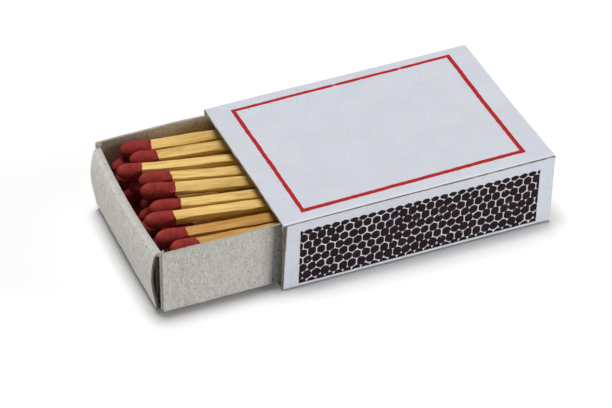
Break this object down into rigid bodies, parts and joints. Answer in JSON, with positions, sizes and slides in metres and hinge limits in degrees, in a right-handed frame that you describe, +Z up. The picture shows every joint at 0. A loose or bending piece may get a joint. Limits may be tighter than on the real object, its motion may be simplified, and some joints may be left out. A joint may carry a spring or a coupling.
{
  "type": "matchbox",
  "caption": "Pocket matchbox: a white board sleeve with a red printed border and honeycomb strikers, and a grey board tray of red-headed matches that slides through it.",
  "frame": {"origin": "middle of the sleeve's underside", "axes": "+X along the slide, the way the open tray is pushed shut; +Z up out of the top panel; -Y towards the side with the glued lap"},
  "size_m": [0.0733, 0.0362, 0.0137],
  "materials": {
    "printed_board": "white coated board, semi-matt",
    "striker": "dark brown abrasive dots, dull",
    "red_ink": "red printing ink, semi-matt",
    "grey_board": "uncoated grey chipboard with specks",
    "splint_wood": "split and dried light wood, unpolished",
    "head_compound": "dried match compound, matt brick red"
  },
  "bodies": {
    "sleeve": {"sleeve": "printed_board", "striker_near": "striker", "striker_far": "striker", "printed_border": "red_ink"},
    "tray": {"tray": "grey_board", "match_01_splint": "splint_wood", "match_02_splint": "splint_wood", "match_03_splint": "splint_wood", "match_04_splint": "splint_wood", "match_05_splint": "splint_wood", "match_06_splint": "splint_wood", "match_07_splint": "splint_wood", "match_08_splint": "splint_wood", "match_09_splint": "splint_wood", "match_10_splint": "splint_wood", "match_11_splint": "splint_wood", "match_12_splint": "splint_wood", "match_13_splint": "splint_wood", "match_14_splint": "splint_wood", "match_15_splint": "splint_wood", "match_16_splint": "splint_wood", "match_17_splint": "splint_wood", "match_01_head": "head_compound", "match_02_head": "head_compound", "match_03_head": "head_compound", "match_04_head": "head_compound", "match_05_head": "head_compound", "match_06_head": "head_compound", "match_07_head": "head_compound", "match_08_head": "head_compound", "match_09_head": "head_compound", "match_10_head": "head_compound", "match_11_head": "head_compound", "match_12_head": "head_compound", "match_13_head": "head_compound", "match_14_head": "head_compound", "match_15_head": "head_compound", "match_16_head": "head_compound", "match_17_head": "head_compound", "match_18": "splint_wood", "match_19": "splint_wood", "match_20": "splint_wood", "match_21": "splint_wood", "match_22": "splint_wood", "match_23": "splint_wood", "match_24": "splint_wood", "match_25": "splint_wood", "match_26": "splint_wood", "match_27": "splint_wood", "match_28": "splint_wood", "match_29": "splint_wood", "match_30": "splint_wood", "match_31": "splint_wood", "match_32": "splint_wood", "match_33": "splint_wood", "match_34": "splint_wood", "match_35": "splint_wood", "match_36": "splint_wood", "match_37": "splint_wood", "match_38": "splint_wood"}
  },
  "joints": [
    {"name": "tray_slide", "type": "slide", "parent": "sleeve", "child": "tray", "axis": [1, 0, 0], "range_m": [-0.0199, 0.0641]}
  ]
}
